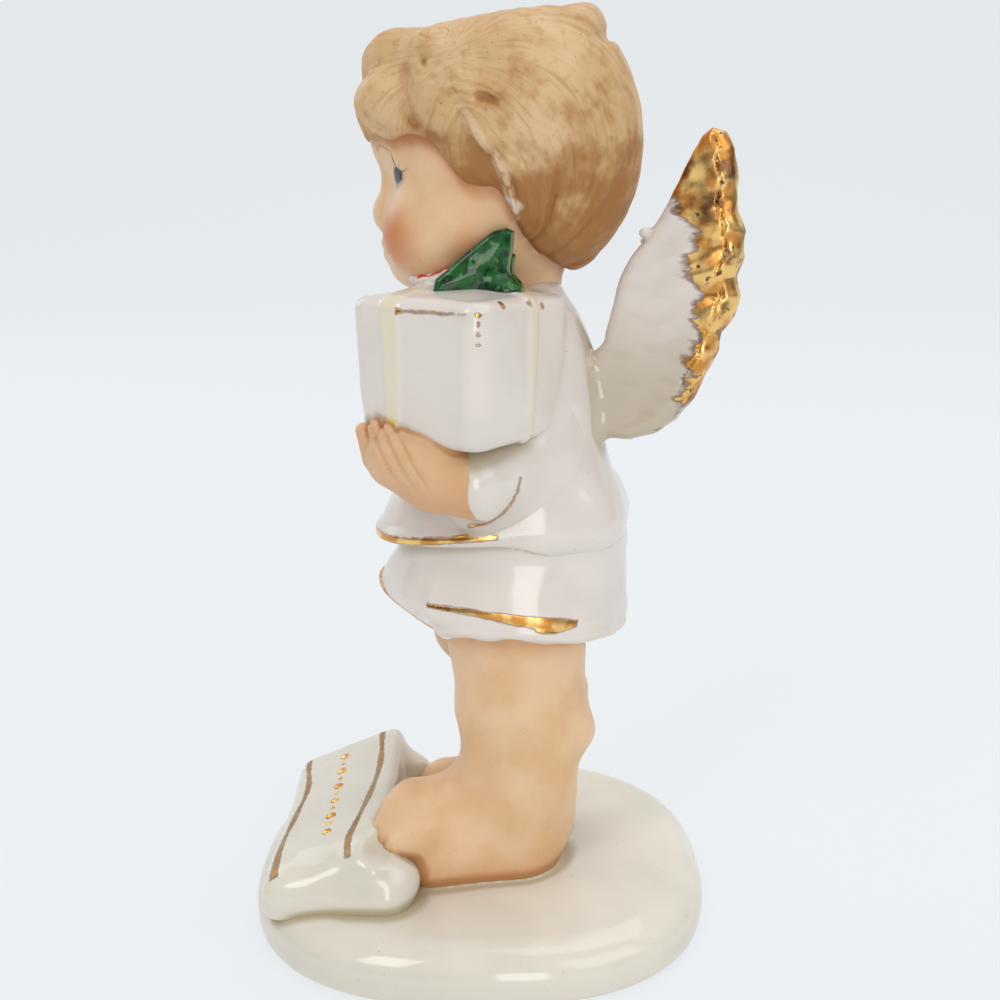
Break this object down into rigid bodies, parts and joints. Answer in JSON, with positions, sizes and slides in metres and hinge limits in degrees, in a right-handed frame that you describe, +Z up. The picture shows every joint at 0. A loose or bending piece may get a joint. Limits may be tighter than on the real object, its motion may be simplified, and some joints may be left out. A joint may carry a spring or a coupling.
{
  "type": "porcelain angel figurine",
  "caption": "Small glazed porcelain cherub in a short two-tier robe, with scalloped wings, holding a gift box with holly, standing on an oval base with a scroll plaque.",
  "frame": {"origin": "on the resting face, at the middle of the oval base", "axes": "+Z up, the figure looks along -Y, its own left side is +X"},
  "size_m": [0.05, 0.0568, 0.1078],
  "materials": {
    "ivory_glaze": "ivory porcelain under a clear gloss glaze",
    "white_glaze": "white porcelain under a clear gloss glaze with overglaze gold lines",
    "skin_bisque": "matt unglazed porcelain painted as skin",
    "hair_bisque": "matt unglazed porcelain painted as light brown hair",
    "green_glaze": "glossy mottled green enamel"
  },
  "bodies": {
    "root": {"base": "ivory_glaze", "scroll_plaque": "ivory_glaze", "left_leg": "skin_bisque", "right_leg": "skin_bisque", "robe_skirt": "white_glaze", "robe_top": "white_glaze", "head": "skin_bisque", "hair": "hair_bisque", "left_sleeve": "white_glaze", "right_sleeve": "white_glaze", "left_hand": "skin_bisque", "right_hand": "skin_bisque", "left_wing": "white_glaze", "right_wing": "white_glaze", "gift_box": "white_glaze", "holly_leaf_left": "green_glaze", "holly_leaf_right": "green_glaze", "ribbon_bow": "white_glaze"}
  },
  "joints": []
}
